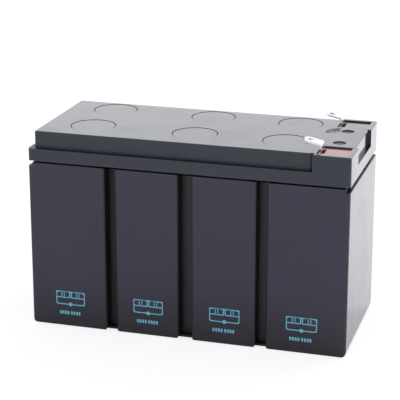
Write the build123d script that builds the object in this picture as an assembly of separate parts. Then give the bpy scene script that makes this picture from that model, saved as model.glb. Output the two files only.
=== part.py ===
from build123d import *
from math import atan2, degrees
import os

# Sealed block battery of a UPS set, in millimetres.
# X runs along the length with the terminals at +X, Y from the front panels to the back, Z up from the base.

# Overall block
LENGTH = 151.0
WIDTH = 65.0
LID_FOOT = 80.4
LID_HEIGHT = 13.6
CORNER_EDGE = 1.5
FOOT_CORNER = 3.0

# Front panels, two wide ones outside and two inside them
PANEL_THICKNESS = 6.5
OUTER_PANEL_WIDTH = 37.3
OUTER_GROOVE = 4.8
CENTRE_GROOVE = 6.2
PANEL_WALL = 2.2
PANEL_EDGE = 1.2
PANEL_INNER_FOOT = 2.0
PANEL_SEAM = 0.7
PANEL_HEAD_CORNER = 1.4
TONGUE_THICKNESS = 1.9
TONGUE_SETBACK = 1.7
TONGUE_RISE = 2.4
TONGUE_MARGIN = 5.0

# Container
JAR_WALL = 2.6
JAR_FLOOR = 2.6
PARTITION = 1.8
JAR_SEAM = 2.5
RIM_STEP = 1.4
RIM_CHAMFER = 0.3
RIM_ENTRY = 2.0
LIP_DEPTH = 3.2
LIP_THICKNESS = 1.0
LIP_END_MARGIN = 4.0
COLUMNS = 3
ROWS = 2

# Lid
BAND_HEIGHT = 5.75
TIER_INSET = 2.5
END_NOTCH_DEPTH = 1.4
TIER_CORNER = 1.0
LID_TOP_EDGE = 0.4
BLOCK_LENGTH = 17.3
BLOCK_WIDTH = 16.6
RELIEF_WIDTH = 1.3
RELIEF_DEPTH = 1.0
LID_SKIN = 2.2
LID_RIB = 1.2
CORE_STEP_RISE = 3.6
TERMINAL_CORE_DROP = 6.5

# Vents: each column's offset from its cells, the front row's offset and the back row's margin to the tier
VENT_LEFT_OFFSET = -1.1
VENT_MIDDLE_OFFSET = -0.9
VENT_RIGHT_OFFSET = -7.5
VENT_FRONT_OFFSET = -2.6
VENT_BACK_MARGIN = 1.7
COVER_DIAMETER = 20.4
COVER_THICKNESS = 1.6
COVER_GAP = 0.4
COVER_SINK = 0.15
CHAMBER_SIDE = 13.0
CHAMBER_WALL = 2.0
CUP_MARGIN = 0.2
VENT_HOLE = 3.0
CAP_DIAMETER = 4.8
CAP_THICKNESS = 2.2

# Terminals: bent blades on a foot that is soldered to the plate post, each post offset from its cell
TAB_WIDTH = 6.35
TAB_THICKNESS = 0.8
TAB_BLOCK_SETBACK = 2.4
TAB_SIDE_SETBACK = 9.3
TAB_REACH = 8.0
TAB_BEND_RISE = 3.0
TAB_TIP_RISE = 4.7
TAB_BEND_RADIUS = 1.2
TAB_TIP_CORNER = 2.5
TAB_HOLE_DIAMETER = 2.4
TAB_HOLE_SETBACK = 2.9
FOOT_DROP = 4.0
POST_FRONT_OFFSET = 0.5
POST_BACK_OFFSET = -7.0
POST_SIDE = 4.4
WELL_DIAMETER = 6.0
SEAL_DEPTH = 0.8
POCKET_RIM = 2.3
POCKET_LEFT_RIM = 1.0
POCKET_INNER_RIM = 0.5
POCKET_DEPTH = 0.7
RISER_HOLE_MARGIN = 0.3

# Cells: plates stacked along Y, with glass mat folded round each positive plate
POSITIVE_THICKNESS = 3.2
NEGATIVE_THICKNESS = 2.4
MAT_LEAST = 0.9
STACK_GAP = 0.2
PLATE_GAP = 1.7
MAT_FOLD = 1.0
MAT_OVERHANG = 0.75
MAT_RISE = 1.5
LUG_WIDTH = 8.0
LUG_HEIGHT = 4.0
LUG_SETBACK = 5.5
STRAP_HEIGHT = 4.5
STRAP_HEADROOM = 6.4
FLAG_WIDTH = 9.0
FLAG_DROP = 1.5
FLAG_RISE = 2.0
LINK_WIDTH = 6.5
LINK_HEIGHT = 5.5

# Clearances: loose fits, and the film of glue or solder round a fixed piece
FIT = 0.15
GLUE = 0.05

# Places that follow from the sizes above
END_X = LENGTH / 2
BACK_Y = WIDTH / 2
FRONT_Y = -BACK_Y
LID_TOP = LID_FOOT + LID_HEIGHT
JAR_FRONT = FRONT_Y + PANEL_THICKNESS
PANEL_HEAD = LID_FOOT - PANEL_SEAM
SHOULDER = LID_FOOT - JAR_SEAM
RIM_TOP = LID_FOOT + RIM_ENTRY
LIP_END = END_X - LIP_END_MARGIN
INNER_FRONT = JAR_FRONT + JAR_WALL
CELL_LENGTH = (LENGTH - 2 * JAR_WALL - (COLUMNS - 1) * PARTITION) / COLUMNS
CELL_WIDTH = (BACK_Y - JAR_WALL - INNER_FRONT - (ROWS - 1) * PARTITION) / ROWS
CELLS = [(column, row) for row in range(ROWS) for column in range(COLUMNS)]
INNER_PANEL_WIDTH = (LENGTH - CENTRE_GROOVE) / 2 - OUTER_GROOVE - OUTER_PANEL_WIDTH
TONGUE_Y = (FRONT_Y + TONGUE_SETBACK, FRONT_Y + TONGUE_SETBACK + TONGUE_THICKNESS)
TIER_X = END_X - TIER_INSET
TIER_END_X = END_X - END_NOTCH_DEPTH
TIER_Y = BACK_Y - TIER_INSET
BAND_TOP = LID_FOOT + BAND_HEIGHT
CORE_STEP = LID_FOOT + CORE_STEP_RISE
TERMINAL_CORE_TOP = LID_TOP - TERMINAL_CORE_DROP
BLOCK_X = END_X - BLOCK_LENGTH
COVER_TOP = LID_TOP - COVER_SINK
COVER_SEAT = COVER_TOP - COVER_THICKNESS
SEAT_DIAMETER = COVER_DIAMETER + 2 * COVER_GAP
CHAMBER_FLOOR = COVER_SEAT - CAP_THICKNESS
CUP_FOOT = CHAMBER_FLOOR - CHAMBER_WALL
TAB_RISER_X = BLOCK_X + TAB_BLOCK_SETBACK
TAB_Y = BACK_Y - TAB_SIDE_SETBACK
FOOT_Z = LID_TOP - FOOT_DROP
FOOT_TOP = FOOT_Z + TAB_THICKNESS
POCKET_X = (BLOCK_X + POCKET_LEFT_RIM, END_X - POCKET_RIM)
POCKET_Y = (BACK_Y - BLOCK_WIDTH + POCKET_INNER_RIM, BACK_Y - POCKET_RIM)
STRAP_TOP = RIM_TOP - STRAP_HEADROOM
STRAP_FOOT = STRAP_TOP - STRAP_HEIGHT
PLATE_TOP = STRAP_FOOT - LUG_HEIGHT
PLATE_FOOT = JAR_FLOOR + MAT_FOLD
PLATE_WIDTH = CELL_LENGTH - 2 * PLATE_GAP
STRAP_OFFSET = PLATE_WIDTH / 2 - LUG_SETBACK
LINK_Z = (STRAP_FOOT + STRAP_TOP) / 2
STACK = CELL_WIDTH - 2 * STACK_GAP
TIGHT_PITCH = POSITIVE_THICKNESS + NEGATIVE_THICKNESS + 2 * MAT_LEAST
POSITIVE_PLATES = int((STACK - NEGATIVE_THICKNESS) / TIGHT_PITCH)
NEGATIVE_PLATES = POSITIVE_PLATES + 1
PLATE_PITCH = (STACK - NEGATIVE_THICKNESS) / POSITIVE_PLATES
MAT_THICKNESS = (PLATE_PITCH - POSITIVE_THICKNESS - NEGATIVE_THICKNESS) / 2


def cell_x(column):
    return (column - (COLUMNS - 1) / 2) * (CELL_LENGTH + PARTITION)


def cell_y(row):
    return INNER_FRONT + CELL_WIDTH / 2 + row * (CELL_WIDTH + PARTITION)


POST_X = cell_x(COLUMNS - 1) + STRAP_OFFSET
VENT_COLUMNS = (cell_x(0) + VENT_LEFT_OFFSET, cell_x(1) + VENT_MIDDLE_OFFSET, cell_x(2) + VENT_RIGHT_OFFSET)
VENT_ROWS = (cell_y(0) + VENT_FRONT_OFFSET, TIER_Y - VENT_BACK_MARGIN - SEAT_DIAMETER / 2)


def slab(x, y, z):
    """Box between two ends along each axis."""
    centre = Pos((x[0] + x[1]) / 2, (y[0] + y[1]) / 2, (z[0] + z[1]) / 2)
    return centre * Box(abs(x[1] - x[0]), abs(y[1] - y[0]), abs(z[1] - z[0]))


def rod(x, y, z, diameter):
    """Upright cylinder between two heights."""
    return Pos(x, y, (z[0] + z[1]) / 2) * Cylinder(diameter / 2, z[1] - z[0])


def around(centre, half):
    """The two ends that lie half a width either side of a centre."""
    return (centre - half, centre + half)


def rounded(sketch, corners):
    """Rounds corners of a sketch, each given as its place and its radius."""
    for place, radius in corners:
        sketch = fillet(sketch.vertices().sort_by_distance(place)[0], radius)
    return sketch


def upright(sketch, back, thickness):
    """Extrudes a sketch drawn as (x, z) forward from the plane y = back."""
    return extrude(Plane.XZ.offset(-back) * sketch, thickness)


def cell_span(column, row, margin=0.0):
    """X and Y ends of a cell, drawn in by a margin."""
    return around(cell_x(column), CELL_LENGTH / 2 - margin), around(cell_y(row), CELL_WIDTH / 2 - margin)


def positive_side(row):
    """End of a cell, along X, with its positive strap: the series goes out by the front row and
    comes back by the other."""
    return 1 if row == 0 else -1


def post_y(side):
    """Place of a terminal's post across the width: front for side -1, back for side 1."""
    return cell_y(0) + POST_FRONT_OFFSET if side < 0 else cell_y(1) + POST_BACK_OFFSET


def link_bars(margin=0.0):
    """Bars through the partitions where neighbouring straps meet, drawn out by a margin."""
    width = LINK_WIDTH + 2 * margin
    height = LINK_HEIGHT + 2 * margin
    to_partition = (CELL_LENGTH + PARTITION) / 2
    bars = []
    for row in range(ROWS):
        for column in range(COLUMNS - 1):
            place = Pos(cell_x(column) + to_partition, cell_y(row), LINK_Z)
            bars.append(place * Box(PARTITION, width, height))
    turn = Pos(cell_x(0) - STRAP_OFFSET, (cell_y(0) + cell_y(1)) / 2, LINK_Z)
    bars.append(turn * Box(width, PARTITION, height))
    return bars


def container():
    """Jar with its partitions, rim tongue, base lip and the holes for the cell links."""
    outline = Pos(0, SHOULDER / 2) * Rectangle(LENGTH, SHOULDER)
    outline = rounded(outline, [((-END_X, 0), FOOT_CORNER), ((END_X, 0), FOOT_CORNER)])
    plan = Pos(0, (JAR_FRONT + BACK_Y) / 2) * Rectangle(LENGTH, BACK_Y - JAR_FRONT)
    plan = rounded(plan, [((-END_X, BACK_Y), CORNER_EDGE), ((END_X, BACK_Y), CORNER_EDGE)])
    jar = upright(outline, BACK_Y, BACK_Y - JAR_FRONT) & extrude(plan, SHOULDER)
    jar = chamfer(jar.faces().sort_by(Axis.Z)[-1].edges(), RIM_CHAMFER)
    rim_y = (JAR_FRONT + RIM_STEP, BACK_Y - RIM_STEP)
    jar += slab(around(0, END_X - RIM_STEP), rim_y, (SHOULDER - RIM_STEP, RIM_TOP))
    jar += slab(around(0, LIP_END), (JAR_FRONT - LIP_DEPTH, INNER_FRONT), (0, LIP_THICKNESS))
    for column, row in CELLS:
        jar -= slab(*cell_span(column, row), (JAR_FLOOR, RIM_TOP))
    for hole in link_bars(GLUE):
        jar -= hole
    return jar


def lid_shell():
    """Outside of the lid: a full band, an inset upper tier and two terminal blocks flush with the band,
    with a relief groove in the tier beside each block."""
    band = fillet(Rectangle(LENGTH, WIDTH).vertices(), CORNER_EDGE)
    tier = Pos((TIER_END_X - TIER_X) / 2, 0) * Rectangle(TIER_END_X + TIER_X, 2 * TIER_Y)
    tier = rounded(tier, [((-TIER_X, -TIER_Y), TIER_CORNER), ((-TIER_X, TIER_Y), TIER_CORNER)])
    for side in (-1, 1):
        block = Rectangle(BLOCK_LENGTH, BLOCK_WIDTH)
        block = Pos(END_X - BLOCK_LENGTH / 2, side * (BACK_Y - BLOCK_WIDTH / 2)) * block
        tier += rounded(block, [((END_X, side * BACK_Y), CORNER_EDGE)])
    shell = extrude(Pos(0, 0, LID_FOOT) * band, BAND_TOP - LID_FOOT)
    shell += extrude(Pos(0, 0, BAND_TOP) * tier, LID_TOP - BAND_TOP)
    shell = chamfer(shell.faces().sort_by(Axis.Z)[-1].edges(), LID_TOP_EDGE)
    for side in (-1, 1):
        relief_y = (side * (TIER_Y - RELIEF_DEPTH), side * TIER_Y)
        shell -= slab((BLOCK_X - RELIEF_WIDTH, BLOCK_X), relief_y, (BAND_TOP, LID_TOP))
    return shell


def lid_core(column, row):
    """Hollow over one cell: narrow between the ribs that grip the jar, wider under the tier."""
    x, y = cell_span(column, row, FIT + LID_RIB)
    core = slab(x, y, (LID_FOOT, CORE_STEP))
    left = LID_SKIN - TIER_X if column == 0 else x[0]
    front = LID_SKIN - TIER_Y if row == 0 else y[0]
    back = TIER_Y - LID_SKIN if row == ROWS - 1 else y[1]
    right = x[1]
    if column == COLUMNS - 1:
        right = BLOCK_X - LID_SKIN
        core += slab((left, TIER_END_X - LID_SKIN), (front, back), (CORE_STEP, TERMINAL_CORE_TOP))
    return core + slab((left, right), (front, back), (CORE_STEP, LID_TOP - LID_SKIN))


def foot_leg(side, margin=0.0):
    """Leg of a terminal's foot, from over the post to the blade's line."""
    half = TAB_WIDTH / 2 + margin
    return slab(around(POST_X, half), (post_y(side) - side * half, side * (TAB_Y + half)), (FOOT_Z, FOOT_TOP))


def post(side, foot, margin=0.0):
    """Square post from a given height up to a terminal's foot."""
    half = POST_SIDE / 2 + margin
    return slab(around(POST_X, half), around(post_y(side), half), (foot, FOOT_Z))


def terminal_cuts(side):
    """Pocket, foot recess, seal well and post bore of one terminal."""
    pocket_y = (side * POCKET_Y[0], side * POCKET_Y[1])
    riser_back = TAB_RISER_X - TAB_THICKNESS / 2 - FIT
    cuts = slab(POCKET_X, pocket_y, (FOOT_TOP, LID_TOP))
    cuts += foot_leg(side, FIT)
    cuts += slab((riser_back, POST_X), around(side * TAB_Y, TAB_WIDTH / 2 + FIT), (FOOT_Z, FOOT_TOP))
    cuts += rod(POST_X, post_y(side), (FOOT_TOP, LID_TOP), WELL_DIAMETER)
    return cuts + post(side, TERMINAL_CORE_TOP, FIT)


def wall_grooves():
    """Grooves in the lid's underside that the jar's rim and partitions stand in."""
    groove_y = (JAR_FRONT + RIM_STEP - FIT, BACK_Y - RIM_STEP + FIT)
    grooves = slab(around(0, END_X - RIM_STEP + FIT), groove_y, (LID_FOOT, RIM_TOP))
    for column, row in CELLS:
        grooves -= slab(*cell_span(column, row, FIT), (LID_FOOT, RIM_TOP))
    return grooves


def lid():
    """Lid with cored underside, vent wells over valve chambers, wall grooves and terminal pockets."""
    cover = lid_shell()
    for column, row in CELLS:
        cover -= lid_core(column, row)
    cover -= wall_grooves()
    slot_x = around(0, END_X - TONGUE_MARGIN + FIT)
    slot_y = (TONGUE_Y[0] - FIT, TONGUE_Y[1] + FIT)
    cover -= slab(slot_x, slot_y, (LID_FOOT, PANEL_HEAD + TONGUE_RISE + FIT))
    cup = SEAT_DIAMETER / 2 + CUP_MARGIN
    chamber = CHAMBER_SIDE / 2
    hole = VENT_HOLE / 2
    for x in VENT_COLUMNS:
        for y in VENT_ROWS:
            cover += slab(around(x, cup), around(y, cup), (CUP_FOOT, COVER_SEAT))
            cover -= rod(x, y, (COVER_SEAT, LID_TOP), SEAT_DIAMETER)
            cover -= slab(around(x, chamber), around(y, chamber), (CHAMBER_FLOOR, COVER_SEAT))
            cover -= slab(around(x, hole), around(y, hole), (CUP_FOOT, CHAMBER_FLOOR))
    for side in (-1, 1):
        cover -= terminal_cuts(side)
    return cover


def panel_spans():
    """X ends of the four front panels, from left to right."""
    inner = (CENTRE_GROOVE / 2, CENTRE_GROOVE / 2 + INNER_PANEL_WIDTH)
    outer = (END_X - OUTER_PANEL_WIDTH, END_X)
    return [(-outer[1], -outer[0]), (-inner[1], -inner[0]), inner, outer]


def front_panel(left, right):
    """Hollow slab, open at the back, that straddles the base lip and tucks a tongue into the lid. The
    jar's seam returns round the block's corner as a step in the outer panels."""
    outline = Pos((left + right) / 2, PANEL_HEAD / 2) * Rectangle(right - left, PANEL_HEAD)
    left_foot = FOOT_CORNER if left == -END_X else PANEL_INNER_FOOT
    right_foot = FOOT_CORNER if right == END_X else PANEL_INNER_FOOT
    outline = rounded(outline, [
        ((left, PANEL_HEAD), PANEL_HEAD_CORNER),
        ((right, PANEL_HEAD), PANEL_HEAD_CORNER),
        ((left, 0), left_foot),
        ((right, 0), right_foot),
    ])
    plan = Pos((left + right) / 2, (FRONT_Y + JAR_FRONT) / 2) * Rectangle(right - left, PANEL_THICKNESS)
    plan = rounded(plan, [((left, FRONT_Y), PANEL_EDGE), ((right, FRONT_Y), PANEL_EDGE)])
    section = Pos((FRONT_Y + JAR_FRONT) / 2, PANEL_HEAD / 2) * Rectangle(PANEL_THICKNESS, PANEL_HEAD)
    section = rounded(section, [((FRONT_Y, 0), PANEL_EDGE), ((FRONT_Y, PANEL_HEAD), PANEL_EDGE)])
    panel = upright(outline, JAR_FRONT, PANEL_THICKNESS) & extrude(plan, PANEL_HEAD)
    panel &= extrude(Plane.YZ.offset(left) * section, right - left)
    hollow_x = (left + PANEL_WALL, right - PANEL_WALL)
    panel -= slab(hollow_x, (FRONT_Y + PANEL_WALL, JAR_FRONT), (PANEL_WALL, PANEL_HEAD - PANEL_WALL))
    tongue_x = (left + TONGUE_MARGIN, right - TONGUE_MARGIN)
    panel += slab(tongue_x, TONGUE_Y, (PANEL_HEAD - PANEL_WALL, PANEL_HEAD + TONGUE_RISE))
    for end in (left, right):
        if abs(end) == END_X:
            panel -= slab(around(end, PANEL_WALL), (FRONT_Y, JAR_FRONT), (SHOULDER, PANEL_HEAD))
    lip_y = (JAR_FRONT - LIP_DEPTH - FIT, JAR_FRONT)
    return panel - slab(around(0, LIP_END + FIT), lip_y, (0, LIP_THICKNESS + FIT))


def vent_cover(x, y):
    """Disc welded into a vent well, which holds the valve cap down."""
    return rod(x, y, (COVER_SEAT, COVER_TOP), COVER_DIAMETER)


def valve_cap(x, y):
    """Rubber cap over a vent hole, which lifts its edge to let gas out."""
    return rod(x, y, (CHAMBER_FLOOR, COVER_SEAT), CAP_DIAMETER)


def terminal_tab(side):
    """Strip bent up from its foot and over towards the middle, with a rounded, pierced tip."""
    foot_z = (FOOT_Z + FOOT_TOP) / 2
    strip_back = side * TAB_Y + TAB_WIDTH / 2
    path = FilletPolyline(
        (POST_X, foot_z),
        (TAB_RISER_X, foot_z),
        (TAB_RISER_X, LID_TOP + TAB_BEND_RISE),
        (TAB_RISER_X - TAB_REACH, LID_TOP + TAB_TIP_RISE),
        radius=TAB_BEND_RADIUS,
    )
    tab = upright(trace(path, TAB_THICKNESS), strip_back, TAB_WIDTH)
    tab = fillet(tab.faces().sort_by(Axis.X)[0].edges().sort_by(SortBy.LENGTH)[:2], TAB_TIP_CORNER)
    tip, along = path @ 1, path % 1
    hole = tip - along * TAB_HOLE_SETBACK
    tilt = degrees(atan2(along.Y, -along.X))
    drill = Cylinder(TAB_HOLE_DIAMETER / 2, 2 * TAB_THICKNESS)
    tab -= Pos(hole.X, side * TAB_Y, hole.Y) * Rot(0, tilt, 0) * drill
    return tab + foot_leg(side)


def terminal_insert(side):
    """Coloured floor of a terminal pocket, with a hole for the tab's riser."""
    insert_x = (POCKET_X[0] + FIT, POCKET_X[1] - FIT)
    insert_y = (side * (POCKET_Y[0] + FIT), side * (POCKET_Y[1] - FIT))
    height = (FOOT_TOP, LID_TOP - POCKET_DEPTH)
    riser_back = TAB_RISER_X - TAB_THICKNESS / 2 - RISER_HOLE_MARGIN
    hole_x = (riser_back, TAB_RISER_X + TAB_BEND_RADIUS + RISER_HOLE_MARGIN)
    hole_y = around(side * TAB_Y, TAB_WIDTH / 2 + RISER_HOLE_MARGIN)
    return slab(insert_x, insert_y, height) - slab(hole_x, hole_y, height)


def post_seal(side):
    """Resin poured over a terminal's foot in its well."""
    return rod(POST_X, post_y(side), (FOOT_TOP, LID_TOP - SEAL_DEPTH), WELL_DIAMETER - 2 * GLUE)


def plate_group(column, row, polarity):
    """Plates of one polarity burned to their strap, with the flag or post that carries the current on."""
    side = polarity * positive_side(row)
    x, y = cell_x(column), cell_y(row)
    strap_x = x + side * STRAP_OFFSET
    first, thickness, count = y - STACK / 2, NEGATIVE_THICKNESS, NEGATIVE_PLATES
    if polarity > 0:
        first += NEGATIVE_THICKNESS + MAT_THICKNESS
        thickness, count = POSITIVE_THICKNESS, POSITIVE_PLATES
    outline = Pos(x, (PLATE_FOOT + PLATE_TOP) / 2) * Rectangle(PLATE_WIDTH, PLATE_TOP - PLATE_FOOT)
    outline += Pos(strap_x, PLATE_TOP + LUG_HEIGHT / 2) * Rectangle(LUG_WIDTH, LUG_HEIGHT)
    group = slab(around(strap_x, LUG_WIDTH / 2), around(y, STACK / 2), (STRAP_FOOT, STRAP_TOP))
    for plate in range(count):
        group += upright(outline, first + plate * PLATE_PITCH + thickness, thickness)
    flag_z = (STRAP_FOOT - FLAG_DROP, STRAP_TOP + FLAG_RISE)
    if side > 0 and column == COLUMNS - 1:
        return group + post(1 if row else -1, STRAP_FOOT)
    if side < 0 and column == 0:
        partition_y = y + positive_side(row) * CELL_WIDTH / 2
        flag_y = (partition_y - positive_side(row) * LUG_WIDTH / 2, partition_y)
        return group + slab(around(strap_x, FLAG_WIDTH / 2), flag_y, flag_z)
    flag_x = (strap_x, x + side * CELL_LENGTH / 2)
    return group + slab(flag_x, around(y, FLAG_WIDTH / 2), flag_z)


def separators(column, row):
    """Glass mats of one cell, each folded under and round a positive plate."""
    mats = []
    width = PLATE_WIDTH + 2 * MAT_OVERHANG
    top = PLATE_TOP + MAT_RISE
    for plate in range(POSITIVE_PLATES):
        outer = cell_y(row) - STACK / 2 + NEGATIVE_THICKNESS + plate * PLATE_PITCH
        inner = outer + MAT_THICKNESS
        fold = make_face(Polyline(
            (outer, top),
            (outer, JAR_FLOOR),
            (inner + POSITIVE_THICKNESS + MAT_THICKNESS, JAR_FLOOR),
            (inner + POSITIVE_THICKNESS + MAT_THICKNESS, top),
            (inner + POSITIVE_THICKNESS, top),
            (inner + POSITIVE_THICKNESS, PLATE_FOOT),
            (inner, PLATE_FOOT),
            (inner, top),
            close=True,
        ))
        mats.append(extrude(Plane.YZ.offset(cell_x(column) - width / 2) * fold, width))
    return Compound(children=mats)


nodes = {"container": container(), "lid": lid()}
for number, (left, right) in enumerate(panel_spans(), 1):
    nodes[f"front_panel_{number}"] = front_panel(left, right)
vents = [(x, y) for y in VENT_ROWS for x in VENT_COLUMNS]
for number, (x, y) in enumerate(vents, 1):
    nodes[f"vent_cover_{number}"] = vent_cover(x, y)
    nodes[f"valve_cap_{number}"] = valve_cap(x, y)
for name, side in (("positive", -1), ("negative", 1)):
    nodes[f"{name}_tab"] = terminal_tab(side)
    nodes[f"{name}_insert"] = terminal_insert(side)
    nodes[f"{name}_post_seal"] = post_seal(side)
for number, (column, row) in enumerate(CELLS, 1):
    nodes[f"positive_plates_{number}"] = plate_group(column, row, 1)
    nodes[f"negative_plates_{number}"] = plate_group(column, row, -1)
    nodes[f"separators_{number}"] = separators(column, row)
for number, link in enumerate(link_bars(), 1):
    nodes[f"cell_link_{number}"] = link

os.makedirs("parts", exist_ok=True)
for name, shape in nodes.items():
    export_step(shape, f"parts/{name}.step")
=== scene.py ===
"""Looks of a sealed lead-acid block battery: moulded case, tinned tabs, printed panels, white studio."""

import math

import bmesh
import bpy
import numpy as np
from mathutils import Matrix, Vector


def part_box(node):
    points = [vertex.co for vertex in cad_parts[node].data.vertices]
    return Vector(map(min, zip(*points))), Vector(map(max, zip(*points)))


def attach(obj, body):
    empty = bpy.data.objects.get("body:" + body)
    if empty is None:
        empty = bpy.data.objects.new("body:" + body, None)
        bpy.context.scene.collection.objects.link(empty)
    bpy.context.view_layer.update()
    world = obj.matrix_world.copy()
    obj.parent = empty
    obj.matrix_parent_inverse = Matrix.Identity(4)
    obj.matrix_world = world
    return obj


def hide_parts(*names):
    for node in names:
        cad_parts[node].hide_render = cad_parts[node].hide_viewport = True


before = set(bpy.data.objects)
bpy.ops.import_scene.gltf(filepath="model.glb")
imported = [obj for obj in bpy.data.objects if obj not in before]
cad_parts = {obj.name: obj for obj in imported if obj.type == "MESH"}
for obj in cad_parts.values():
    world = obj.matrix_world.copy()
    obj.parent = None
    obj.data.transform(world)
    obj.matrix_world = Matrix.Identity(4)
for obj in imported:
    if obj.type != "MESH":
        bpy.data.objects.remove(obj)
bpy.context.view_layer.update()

MM = 0.001
UP = Vector((0.0, 0.0, 1.0))
BLACK = (0.0, 0.0, 0.0, 1.0)
WHITE = (1.0, 1.0, 1.0, 1.0)

# How many there are of the numbered pieces.
PANELS = 4
CELLS = 6
CELL_LINKS = CELLS - 1

# The camera, fitted to the photograph's lid corners, panel edges and foot.
IMAGE_SIDE = 400.0
SENSOR_WIDTH = 36.0
FOCAL_PIXELS = 1447.38
AXIS_PIXEL = (220.0, 160.0)
EYE = Vector((183.68, -623.94, 270.21)) * MM
YAW = math.radians(15.781)
PITCH = math.radians(16.488)
ROLL = math.radians(0.233)
CLIP_NEAR = 0.01
CLIP_FAR = 50.0

# Printed marks on the front panels, in millimetres from the panel's middle and the base.
MARK_SHIFT = {"front_panel_1": 0.6, "front_panel_2": 0.4, "front_panel_3": 0.6, "front_panel_4": -1.9}
MARK_BOTTOM = 10.9
MARK_WIDTH = 14.4
MARK_HEIGHT = 6.7
LINE_WIDTH = 0.5
WINDOW_GAP = 0.3
POST_WIDTH = 0.4
POST_HEIGHT = 2.0
POST_SPREAD = 0.6
DOT_WIDTH = 1.9
BAR_SHIFT = -0.4
BAR_BOTTOM = 6.0
BAR_HEIGHT = 1.75
BAR_GAP = 0.8
DASHES_IN_BAR = 4
DASH_WIDTH = 0.88
DASH_PITCH = 1.28
INK_THICKNESS = 0.03

# Forms of a printed patch, how finely patches and lines are divided, and the power of the superellipse
# that gives a line its rounded corners.
RECTANGLE = 0.0
SOFT_RECTANGLE = 0.3
DISC = 1.0
PATCH_POINTS = 13
LINE_POINTS_ACROSS = 7
LINE_POINTS_ROUND = 96
LINE_CORNER_POWER = 12

# How far the resin climbs the wall of its well, the angle past which its edges stay sharp, how finely it
# is divided, and how close its points lie where they are joined.
SEAL_CLIMB = 0.35 * MM
SEAL_SHARP = math.radians(40.0)
SEAL_POINTS_OUT = 13
SEAL_POINTS_ROUND = 48
POLE_REACH = 0.001 * MM

# Pigments of the moulded plastics, the roughness of their polished skin, the depth of their grain, and
# how far scuffs reach inwards from an edge.
CASE_BLACK = (0.016, 0.0165, 0.020)
CASE_POLISH = 0.10
CASE_GRAIN = 0.004 * MM
LID_BLACK = (0.0205, 0.0235, 0.0365)
LID_POLISH = 0.045
LID_GRAIN = 0.002 * MM
PANEL_BLACK = (0.024, 0.020, 0.041)
PANEL_POLISH = 0.10
PANEL_GRAIN = 0.006 * MM
POCKET_RED = (0.26, 0.030, 0.034)
POCKET_POLISH = 0.06
POCKET_GRAIN = 0.003 * MM
SCUFF_WIDTH = 0.9 * MM

# The heights between which the front panels' colour rises from black to its full strength: painted shade,
# darker towards the foot.
PANEL_FOOT_SHADE_HEIGHTS = (-20.0 * MM, 32.0 * MM)

# Where the panels' grooves end and the block's end faces begin, from the middle outwards, and where the
# ledge round the lid ends and its top begins, upwards.
GROOVES_END = (68.0 * MM, 70.0 * MM)
LEDGES_END = (86.3 * MM, 86.8 * MM)

# The parts of a face's normal along an axis at which the face begins to count as facing that way, and at
# which it counts in full.
LONG_SIDE_FACING = (0.45, 0.70)
GROOVE_WALL_FACING = (0.12, 0.75)
LEDGE_FACING = (0.60, 0.85)
SHEARED_FACING = (0.80, 0.97)
UNDERSIDE_FACING = (0.30, 0.70)

# The studio, in metres. Levels are brightnesses where 1 is white, and FLOOR_GLOW is the share of the
# floor's own glow in what the camera sees of it.
SURROUND_LEVEL = 0.93
SURROUND_TINT = (0.975, 0.985, 1.01, 1.0)
MIRRORED_LEVEL = 1.08
GLOW_LEVEL = 1.15
FLOOR_GLOW = 0.67
FLOOR_SIDE = 8.0
FLOOR_POINTS = 3
FLOOR_DROP = 0.05 * MM
SOFTBOX_PLACE = Vector((0.60, 1.00, 0.90))
SOFTBOX_AIM = Vector((0.18, 0.30, 0.0))
SOFTBOX_SIZE = (0.8, 0.8)
SOFTBOX_RADIANCE = 3.0


class Field:
    """A node's output that takes part in Python arithmetic: each operation adds one Math node."""

    def __init__(self, finish, socket):
        self.finish = finish
        self.socket = socket

    def out(self, name):
        return Field(self.finish, self.socket.node.outputs[name])

    def __add__(self, other):
        return self.finish.maths("ADD", self, other)

    def __radd__(self, other):
        return self.finish.maths("ADD", other, self)

    def __sub__(self, other):
        return self.finish.maths("SUBTRACT", self, other)

    def __rsub__(self, other):
        return self.finish.maths("SUBTRACT", other, self)

    def __mul__(self, other):
        return self.finish.maths("MULTIPLY", self, other)

    def __rmul__(self, other):
        return self.finish.maths("MULTIPLY", other, self)

    def __abs__(self):
        return self.finish.maths("ABSOLUTE", self)


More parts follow.
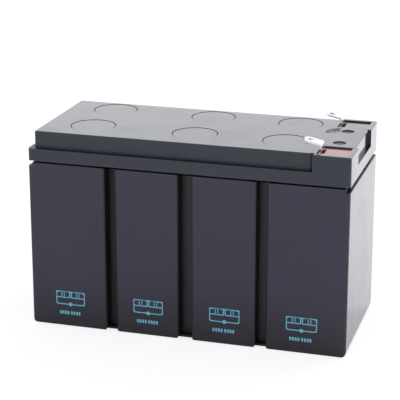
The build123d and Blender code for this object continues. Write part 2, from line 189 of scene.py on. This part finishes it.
class Finish:
    """A node tree in the making; `node` sets a node's settings first and its inputs after them."""

    def __init__(self, owner):
        owner.use_nodes = True
        self.owner = owner
        self.tree = owner.node_tree
        self.tree.nodes.clear()

    def node(self, kind, settings=None, inputs=None, output=0):
        made = self.tree.nodes.new(kind)
        for name, value in (settings or {}).items():
            setattr(made, name, value)
        for name, value in (inputs or {}).items():
            if isinstance(value, Field):
                self.tree.links.new(value.socket, made.inputs[name])
            else:
                made.inputs[name].default_value = value
        return Field(self, made.outputs[output]) if made.outputs else None

    def maths(self, operation, *values):
        return self.node("ShaderNodeMath", {"operation": operation}, dict(enumerate(values)))

    def larger(self, first, second):
        return self.maths("MAXIMUM", first, second)

    def place(self):
        return self.node("ShaderNodeTexCoord", output="Object")

    def normal(self):
        return self.node("ShaderNodeNewGeometry", output="Normal")

    def axes(self, vector):
        """The three parts of a vector."""
        along = self.node("ShaderNodeSeparateXYZ", inputs={0: vector})
        return along, along.out("Y"), along.out("Z")

    def noise(self, scale, detail=3.0, stretch=(1.0, 1.0, 1.0)):
        """Cloudy values about 0.5, `scale` clouds to the metre, times `stretch` along each axis."""
        spread = self.node("ShaderNodeVectorMath", {"operation": "MULTIPLY"}, {0: self.place(), 1: stretch})
        return self.node("ShaderNodeTexNoise", inputs={"Vector": spread, "Scale": scale, "Detail": detail})

    def step(self, value, low, high):
        """0 below `low`, 1 above `high`, smooth between them."""
        edges = {"Value": value, "From Min": low, "From Max": high}
        return self.node("ShaderNodeMapRange", {"interpolation_type": "SMOOTHSTEP"}, edges)

    def blend(self, factor, first, second):
        """A colour that goes from `first` to `second` as `factor` goes from 0 to 1."""
        return self.node("ShaderNodeMix", {"data_type": "RGBA"}, {0: factor, 6: first, 7: second}, output=2)

    def bump(self, height, depth):
        """Normals of a surface raised by `height` times `depth` metres."""
        return self.node("ShaderNodeBump", inputs={"Height": height, "Distance": depth, "Strength": 1.0})

    def surface(self, sockets):
        shader = self.node("ShaderNodeBsdfPrincipled", inputs=sockets)
        self.node("ShaderNodeOutputMaterial", inputs={"Surface": shader})
        return self.owner


def shade(colour, factor):
    """A colour times a factor, with its alpha."""
    return tuple(factor * part for part in colour) + (1.0,)


def new_finish(name):
    return Finish(bpy.data.materials.new(name))


def rim_of_box(finish, corners, width):
    """1 along the edges of a box where two of its faces meet, 0 from `width` inwards."""
    low, high = corners
    near = []
    for axis, place in enumerate(finish.axes(finish.place())):
        middle = (low[axis] + high[axis]) / 2
        half = (high[axis] - low[axis]) / 2
        near.append(finish.step(abs(place - middle), half - width, half))
    x, y, z = near
    return finish.larger(x * y, finish.larger(y * z, z * x))


def sparked_faces(finish):
    """Two masks of faces that keep the mould's sparked finish, each 1 on its faces and 0 elsewhere.

    The first holds the long sides, the walls of the panels' grooves and the ledges below the lid's top;
    the second holds the groove walls and the ledges alone, whose pigment gets painted shade.
    """
    along, across, upward = finish.axes(finish.normal())
    x, _, z = finish.axes(finish.place())
    long_side = finish.step(abs(across), *LONG_SIDE_FACING)
    groove_wall = finish.step(abs(along), *GROOVE_WALL_FACING) * (1.0 - finish.step(abs(x), *GROOVES_END))
    ledge = finish.step(upward, *LEDGE_FACING) * (1.0 - finish.step(z, *LEDGES_END))
    shaded_recesses = finish.larger(groove_wall, ledge)
    return finish.larger(long_side, shaded_recesses), shaded_recesses


def moulded_plastic(name, colour, corners, polish, grain, foot_shade_heights=None):
    """Moulded plastic: clouded pigment, sparked grain, draw lines along z, dust, and scuffs on the edges.

    The polished faces carry a clear skin as rough as `polish`, dulled by smudges of handling; the sparked
    ones have none, and on the groove walls and ledges among them the pigment is darkened as painted shade.
    Where heights for the foot are given, the colour rises from black between them: painted shade, darker
    towards the foot.
    """
    dust_grey = (0.40, 0.40, 0.41, 1.0)
    scuff_grey = (0.32, 0.32, 0.33, 1.0)
    finish = new_finish(name)
    matte, shaded_recesses = sparked_faces(finish)
    cloud = finish.noise(scale=75.0)
    draw = finish.noise(scale=1.0, stretch=(700.0, 700.0, 22.0))
    grains = finish.noise(scale=2400.0, detail=2.0)
    smudge = finish.step(finish.noise(scale=60.0, detail=4.0), low=0.46, high=0.70)
    dust = finish.step(finish.noise(scale=500.0, detail=6.0), low=0.56, high=0.80)
    worn = finish.step(finish.noise(scale=420.0, detail=5.0), low=0.46, high=0.62)
    scuff = rim_of_box(finish, corners, SCUFF_WIDTH) * worn * (1.0 - shaded_recesses)
    pigment = finish.blend(cloud, shade(colour, 0.85), shade(colour, 1.15))
    # Painted shade: towards the foot the colour fades to black.
    if foot_shade_heights:
        _, _, z = finish.axes(finish.place())
        pigment = finish.blend(finish.step(z, *foot_shade_heights), BLACK, pigment)
    # Painted shade: the groove walls and the ledges under the lid's tier are darkened to 0.15 of the pigment.
    recess_shaded_pigment = finish.blend(shaded_recesses, pigment, shade(colour, 0.15))
    dusty = finish.blend(dust * 0.02, recess_shaded_pigment, dust_grey)
    return finish.surface({
        "Base Color": finish.blend(scuff * 0.06, dusty, scuff_grey),
        "Roughness": 2.0 * polish + 0.22 * matte + 0.08 * (cloud - 0.5) + 0.06 * (draw - 0.5),
        "IOR": 1.5,
        "Coat Weight": (1.0 - matte) * (1.0 - 0.4 * scuff) * (1.0 - 0.15 * smudge),
        "Coat Roughness": polish,
        "Normal": finish.bump(0.6 * grains + 0.4 * draw, depth=grain),
    })


def tinned_blade(name):
    """Tinned brass strip: rolled streaks along x, cloudy tin, painted shade on the underside and bare brass
    on sheared edges.
    """
    grey_tin = (0.82, 0.82, 0.82, 1.0)
    white_tin = (0.94, 0.94, 0.93, 1.0)
    underside_shade_tin = (0.10, 0.10, 0.10, 1.0)
    bare_brass = (0.40, 0.33, 0.22, 1.0)
    finish = new_finish(name)
    streaks = finish.noise(scale=1.0, detail=5.0, stretch=(260.0, 5200.0, 5200.0))
    cloud = finish.noise(scale=420.0)
    _, sideways, upward = finish.axes(finish.normal())
    cut_side = finish.step(abs(sideways), *SHEARED_FACING)
    sheared = cut_side * finish.step(finish.noise(scale=1500.0), low=0.35, high=0.6)
    # Painted shade: faces turned downwards are darkened almost to black.
    below = finish.step(-1.0 * upward, *UNDERSIDE_FACING)
    tin = finish.blend(0.9 * below, finish.blend(cloud, grey_tin, white_tin), underside_shade_tin)
    return finish.surface({
        "Base Color": finish.blend(sheared * 0.2, tin, bare_brass),
        "Metallic": 1.0,
        "Roughness": 0.26 + 0.16 * (streaks - 0.5) + 0.12 * (cloud - 0.5),
        "Normal": finish.bump(streaks, depth=0.004 * MM),
    })


def poured_resin(name):
    """Sealing resin set in its well: dark, glassy, with slow waves and a few fine bubbles."""
    deep_resin = (0.05, 0.05, 0.053, 1.0)
    pale_resin = (0.11, 0.11, 0.115, 1.0)
    finish = new_finish(name)
    waves = finish.noise(scale=380.0, detail=1.0)
    bubbles = finish.step(finish.noise(scale=2100.0, detail=1.0), low=0.66, high=0.74)
    return finish.surface({
        "Base Color": finish.blend(waves, deep_resin, pale_resin),
        "Roughness": 0.16 + 0.12 * waves + 0.2 * bubbles,
        "IOR": 1.5,
        "Normal": finish.bump(waves - 0.2 * bubbles, depth=0.06 * MM),
    })


def cap_rubber(name):
    """Soft black rubber: pale bloom in clouds over a fine ground grain."""
    clean_rubber = (0.018, 0.018, 0.018, 1.0)
    bloomed_rubber = (0.11, 0.11, 0.11, 1.0)
    finish = new_finish(name)
    bloom = finish.step(finish.noise(scale=350.0, detail=5.0), low=0.42, high=0.75)
    grains = finish.noise(scale=4200.0, detail=2.0)
    return finish.surface({
        "Base Color": finish.blend(bloom * 0.25, clean_rubber, bloomed_rubber),
        "Roughness": 0.62 + 0.15 * bloom,
        "Normal": finish.bump(grains, depth=0.02 * MM),
    })


def cast_lead(name):
    """Cast lead: blue grey, dull with oxide in blotches, and the chill marks of the mould."""
    bright_lead = (0.36, 0.37, 0.40, 1.0)
    dull_lead = (0.17, 0.175, 0.19, 1.0)
    finish = new_finish(name)
    oxide = finish.step(finish.noise(scale=190.0, detail=6.0), low=0.38, high=0.68)
    chill = finish.noise(scale=1300.0, detail=4.0)
    return finish.surface({
        "Base Color": finish.blend(oxide, bright_lead, dull_lead),
        "Metallic": 0.9 - 0.6 * oxide,
        "Roughness": 0.42 + 0.28 * oxide,
        "Normal": finish.bump(chill, depth=0.05 * MM),
    })


def brown_paste(name):
    """Lead dioxide paste in its grid: dark brown, grainy and dry, paler where it has crumbled."""
    dark_paste = (0.030, 0.012, 0.007, 1.0)
    pale_paste = (0.085, 0.036, 0.020, 1.0)
    finish = new_finish(name)
    crumbs = finish.noise(scale=2600.0, detail=6.0)
    patches = finish.noise(scale=240.0, detail=4.0)
    return finish.surface({
        "Base Color": finish.blend(patches, dark_paste, pale_paste),
        "Roughness": 0.78 + 0.15 * (crumbs - 0.5),
        "Normal": finish.bump(crumbs, depth=0.08 * MM),
    })


def glass_fleece(name):
    """Glass mat: white fibres felted in two directions, slightly grey where it is soaked."""
    shaded_glass = (0.60, 0.60, 0.58, 1.0)
    white_glass = (0.86, 0.86, 0.84, 1.0)
    soaked_glass = (0.50, 0.51, 0.52, 1.0)
    finish = new_finish(name)
    upright = finish.noise(scale=1.0, detail=4.0, stretch=(5200.0, 5200.0, 700.0))
    level = finish.noise(scale=1.0, detail=4.0, stretch=(700.0, 5200.0, 5200.0))
    fibres = finish.larger(upright, level)
    soaked = finish.noise(scale=120.0)
    dry = finish.blend(fibres, shaded_glass, white_glass)
    return finish.surface({
        "Base Color": finish.blend(0.5 * soaked, dry, soaked_glass),
        "Roughness": 0.85 + 0.1 * (soaked - 0.5),
        "Normal": finish.bump(fibres, depth=0.06 * MM),
    })


def panel_ink(name):
    """Screen-printed ink: pale blue, thinner in specks where the panel's grain shows through."""
    deep_ink = (0.10, 0.38, 0.50, 1.0)
    pale_ink = (0.145, 0.49, 0.63, 1.0)
    thin_ink = (0.05, 0.12, 0.15, 1.0)
    finish = new_finish(name)
    thin = finish.step(finish.noise(scale=2600.0, detail=4.0), low=0.50, high=0.72)
    cloud = finish.noise(scale=500.0)
    solid = finish.blend(cloud, deep_ink, pale_ink)
    return finish.surface({
        "Base Color": finish.blend(0.35 * thin, solid, thin_ink),
        "Roughness": 0.42 + 0.2 * thin,
    })


def mesh_piece(name, points, faces, material):
    """A piece from its points and quads, smooth-shaded, at the origin."""
    mesh = bpy.data.meshes.new(name)
    mesh.from_pydata(points.reshape(-1, 3).tolist(), [], faces.reshape(-1, 4).tolist())
    mesh.polygons.foreach_set("use_smooth", np.ones(len(mesh.polygons), bool))
    mesh.materials.append(material)
    piece = bpy.data.objects.new(name, mesh)
    bpy.context.scene.collection.objects.link(piece)
    return piece


def grid_quads(rows, columns, closed):
    """Corner numbers of the quads of a grid of points; `closed` joins the last column to the first."""
    row = np.arange(rows - 1)[:, None]
    column = np.arange(columns if closed else columns - 1)[None, :]
    after = (column + 1) % columns
    corners = (
        row * columns + column,
        (row + 1) * columns + column,
        (row + 1) * columns + after,
        row * columns + after,
    )
    return np.stack(np.broadcast_arrays(*corners), axis=-1).reshape(-1, 4)


def printed_line(middle, size, width):
    """A closed line of ink round a rectangle, in millimetres on a panel's face.

    Around it runs the angle t, across it s from 0 to 1. The line's place is the superellipse of the corner
    power whose half sizes shrink by s times the width; its height over the face is 1 - (2s - 1)^4 of the
    ink.
    """
    t = np.linspace(0.0, 2 * np.pi, LINE_POINTS_ROUND, endpoint=False)[None, :]
    s = np.linspace(0.0, 1.0, LINE_POINTS_ACROSS)[:, None]
    round_x = np.sign(np.cos(t)) * np.abs(np.cos(t)) ** (2 / LINE_CORNER_POWER)
    round_z = np.sign(np.sin(t)) * np.abs(np.sin(t)) ** (2 / LINE_CORNER_POWER)
    x = middle[0] + (size[0] / 2 - s * width) * round_x
    z = middle[1] + (size[1] / 2 - s * width) * round_z
    height = INK_THICKNESS * (1 - (2 * s - 1) ** 4) + 0 * t
    return np.stack((x, height, z), axis=-1), grid_quads(LINE_POINTS_ACROSS, LINE_POINTS_ROUND, closed=True)


def printed_patch(middle, size, roundness):
    """A filled patch of ink, in millimetres on a panel's face.

    u and v run from -1 to 1 across it. Its place is u sqrt(1 - k v^2 / 2) and v sqrt(1 - k u^2 / 2) of the
    half sizes, a rectangle for a roundness k of 0 and a disc for 1; its height is (1 - u^8)(1 - v^8) of
    the ink.
    """
    u = np.linspace(-1.0, 1.0, PATCH_POINTS)[:, None]
    v = np.linspace(-1.0, 1.0, PATCH_POINTS)[None, :]
    x = middle[0] + size[0] / 2 * u * np.sqrt(1 - roundness * v ** 2 / 2)
    z = middle[1] + size[1] / 2 * v * np.sqrt(1 - roundness * u ** 2 / 2)
    height = INK_THICKNESS * (1 - u ** 8) * (1 - v ** 8)
    return np.stack((x, height, z), axis=-1), grid_quads(PATCH_POINTS, PATCH_POINTS, closed=False)


def panel_mark(panel, material):
    """The printed mark of one panel: a box with two posted windows and a dot, over two broken bars."""
    low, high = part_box(panel)
    middle = (low.x + high.x) / (2 * MM) + MARK_SHIFT[panel]
    centre = MARK_BOTTOM + MARK_HEIGHT / 2
    window_level = centre + MARK_HEIGHT / 4
    window_size = ((MARK_WIDTH - WINDOW_GAP) / 2, MARK_HEIGHT / 2)
    bar_level = BAR_BOTTOM + BAR_HEIGHT / 2
    shapes = [
        printed_line((middle, centre), (MARK_WIDTH, MARK_HEIGHT), LINE_WIDTH),
        printed_patch((middle, MARK_BOTTOM + LINE_WIDTH / 2), (DOT_WIDTH, DOT_WIDTH), DISC),
    ]
    for side in (-1, 1):
        window = middle + side * (WINDOW_GAP + window_size[0]) / 2
        shapes.append(printed_line((window, window_level), window_size, LINE_WIDTH))
        for post in (window - POST_SPREAD, window + POST_SPREAD):
            shapes.append(printed_patch((post, window_level), (POST_WIDTH, POST_HEIGHT), RECTANGLE))
        for dash in range(DASHES_IN_BAR):
            place = middle + BAR_SHIFT + side * ((BAR_GAP + DASH_WIDTH) / 2 + dash * DASH_PITCH)
            shapes.append(printed_patch((place, bar_level), (DASH_WIDTH, BAR_HEIGHT), SOFT_RECTANGLE))
    points = []
    faces = []
    count = 0
    for grid, quads in shapes:
        points.append(grid.reshape(-1, 3))
        faces.append(quads + count)
        count += points[-1].shape[0]
    placed = np.concatenate(points) * MM
    placed[:, 1] = low.y - placed[:, 1]
    piece = mesh_piece("printed_mark_" + panel[-1], placed, np.concatenate(faces), material)
    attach(piece, "root")


def close_poles(mesh):
    """Joins the points that meet at a turned piece's poles, and turns its faces outwards."""
    turned = bmesh.new()
    turned.from_mesh(mesh)
    bmesh.ops.remove_doubles(turned, verts=turned.verts, dist=POLE_REACH)
    bmesh.ops.recalc_face_normals(turned, faces=turned.faces)
    turned.to_mesh(mesh)
    turned.free()


def resin_plug(seal, material):
    """The resin in a terminal's well: a plug whose top is dished where it climbs the wall.

    Its profile runs from the middle of the dish out to the wall, down it and in again below, and turns
    by the angle t about the well's axis. At the share r of the radius the dish stands r^2 of the climb
    over the poured level.
    """
    low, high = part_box(seal)
    middle = (low + high) / 2
    r = np.linspace(0.0, 1.0, SEAL_POINTS_OUT)
    t = np.linspace(0.0, 2 * np.pi, SEAL_POINTS_ROUND, endpoint=False)[None, :]
    reach = (high.x - low.x) / 2 * np.concatenate((r, (1.0, 0.0)))[:, None]
    level = np.concatenate((high.z + SEAL_CLIMB * r ** 2, (low.z, low.z)))[:, None]
    points = np.stack((middle.x + reach * np.cos(t), middle.y + reach * np.sin(t), level + 0 * t), axis=-1)
    name = seal.replace("post_seal", "resin_plug")
    plug = mesh_piece(name, points, grid_quads(len(level), SEAL_POINTS_ROUND, closed=True), material)
    close_poles(plug.data)
    plug.data.set_sharp_from_angle(angle=SEAL_SHARP)
    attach(plug, "root")
    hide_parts(seal)


def dress(names, material):
    """Gives CAD nodes their finish."""
    for name in names:
        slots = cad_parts[name].data.materials
        slots.clear()
        slots.append(material)


def numbered(stem, count):
    return [f"{stem}_{number}" for number in range(1, count + 1)]


def studio_camera():
    """The camera: forward from yaw and pitch, rolled about its own axis, with the frame's offset as shift."""
    forward = Vector((
        -math.sin(YAW) * math.cos(PITCH),
        math.cos(YAW) * math.cos(PITCH),
        -math.sin(PITCH),
    ))
    level = forward.cross(UP).normalized()
    upright = level.cross(forward)
    right = math.cos(ROLL) * level + math.sin(ROLL) * upright
    top = math.cos(ROLL) * upright - math.sin(ROLL) * level
    data = bpy.data.cameras.new("camera")
    data.sensor_width = SENSOR_WIDTH
    data.lens = FOCAL_PIXELS / IMAGE_SIDE * SENSOR_WIDTH
    data.shift_x = 0.5 - AXIS_PIXEL[0] / IMAGE_SIDE
    data.shift_y = AXIS_PIXEL[1] / IMAGE_SIDE - 0.5
    data.clip_start = CLIP_NEAR
    data.clip_end = CLIP_FAR
    camera = bpy.data.objects.new("camera", data)
    camera.matrix_world = Matrix.Translation(EYE) @ Matrix((right, top, -forward)).transposed().to_4x4()
    bpy.context.scene.collection.objects.link(camera)
    bpy.context.scene.camera = camera


def seen_rays(finish):
    """Camera rays, and the glossy rays that see the white ground in a polished face."""
    camera = finish.node("ShaderNodeLightPath", output="Is Camera Ray")
    return camera, camera.out("Is Glossy Ray")


def studio_surround():
    """A white surround: strength 1 where it is seen, a little less as light, a little more in mirrors."""
    world = bpy.data.worlds.new("surround")
    bpy.context.scene.world = world
    finish = Finish(world)
    camera, mirrored = seen_rays(finish)
    level = SURROUND_LEVEL + (1.0 - SURROUND_LEVEL) * camera + (MIRRORED_LEVEL - SURROUND_LEVEL) * mirrored
    colour = finish.blend(camera, SURROUND_TINT, WHITE)
    light = finish.node("ShaderNodeBackground", inputs={"Color": colour, "Strength": level})
    finish.node("ShaderNodeOutputWorld", inputs={"Surface": light})


def studio_floor():
    """A white floor that keeps a faint shadow: matte paint, with an even glow where it is seen."""
    dim_paint = (0.91, 0.91, 0.92, 1.0)
    bright_paint = (0.93, 0.93, 0.94, 1.0)
    finish = new_finish("white_floor")
    mottle = finish.noise(scale=3.0)
    paint_colour = finish.blend(mottle, dim_paint, bright_paint)
    paint = finish.node("ShaderNodeBsdfDiffuse", inputs={"Color": paint_colour})
    glow = finish.node("ShaderNodeEmission", inputs={"Color": WHITE, "Strength": GLOW_LEVEL})
    camera, _ = seen_rays(finish)
    mixed = finish.node("ShaderNodeMixShader", inputs={0: FLOOR_GLOW * camera, 1: paint, 2: glow})
    finish.node("ShaderNodeOutputMaterial", inputs={"Surface": mixed})
    side = np.linspace(-FLOOR_SIDE / 2, FLOOR_SIDE / 2, FLOOR_POINTS)
    x, y = np.meshgrid(side, side, indexing="ij")
    points = np.stack((x, y, np.full_like(x, -FLOOR_DROP)), axis=-1)
    floor = mesh_piece("floor", points, grid_quads(FLOOR_POINTS, FLOOR_POINTS, closed=False), finish.owner)


def studio_softbox():
    """A softbox behind and to the right, over the floor that the block's polished end mirrors."""
    data = bpy.data.lights.new("softbox", "AREA")
    data.shape = "RECTANGLE"
    data.size, data.size_y = SOFTBOX_SIZE
    data.energy = SOFTBOX_RADIANCE * math.pi * data.size * data.size_y
    softbox = bpy.data.objects.new("softbox", data)
    softbox.rotation_euler = (SOFTBOX_AIM - SOFTBOX_PLACE).to_track_quat("-Z", "Y").to_euler()
    softbox.location = SOFTBOX_PLACE
    softbox.visible_camera = False
    bpy.context.scene.collection.objects.link(softbox)


jar_plastic = moulded_plastic("jar_plastic", CASE_BLACK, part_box("container"), CASE_POLISH, CASE_GRAIN)
lid_plastic = moulded_plastic("lid_plastic", LID_BLACK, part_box("lid"), LID_POLISH, LID_GRAIN)
red_plastic = moulded_plastic(
    "red_plastic", POCKET_RED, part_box("positive_insert"), POCKET_POLISH, POCKET_GRAIN)
black_plastic = moulded_plastic(
    "black_plastic", CASE_BLACK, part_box("negative_insert"), POCKET_POLISH, POCKET_GRAIN)
dress(["container"], jar_plastic)
dress(["lid"] + numbered("vent_cover", CELLS), lid_plastic)
dress(["positive_insert"], red_plastic)
dress(["negative_insert"], black_plastic)
for panel in numbered("front_panel", PANELS):
    panel_plastic = moulded_plastic(
        panel + "_plastic", PANEL_BLACK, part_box(panel), PANEL_POLISH, PANEL_GRAIN, PANEL_FOOT_SHADE_HEIGHTS)
    dress([panel], panel_plastic)
dress(["positive_tab", "negative_tab"], tinned_blade("tinned_brass"))
resin = poured_resin("seal_resin")
for seal in ("positive_post_seal", "negative_post_seal"):
    resin_plug(seal, resin)
dress(numbered("valve_cap", CELLS), cap_rubber("valve_rubber"))
dress(numbered("negative_plates", CELLS) + numbered("cell_link", CELL_LINKS), cast_lead("lead"))
dress(numbered("positive_plates", CELLS), brown_paste("positive_paste"))
dress(numbered("separators", CELLS), glass_fleece("glass_mat"))

ink = panel_ink("mark_ink")
for panel in numbered("front_panel", PANELS):
    panel_mark(panel, ink)

studio_camera()
studio_surround()
studio_floor()
studio_softbox()
bpy.context.scene.view_settings.view_transform = "Standard"
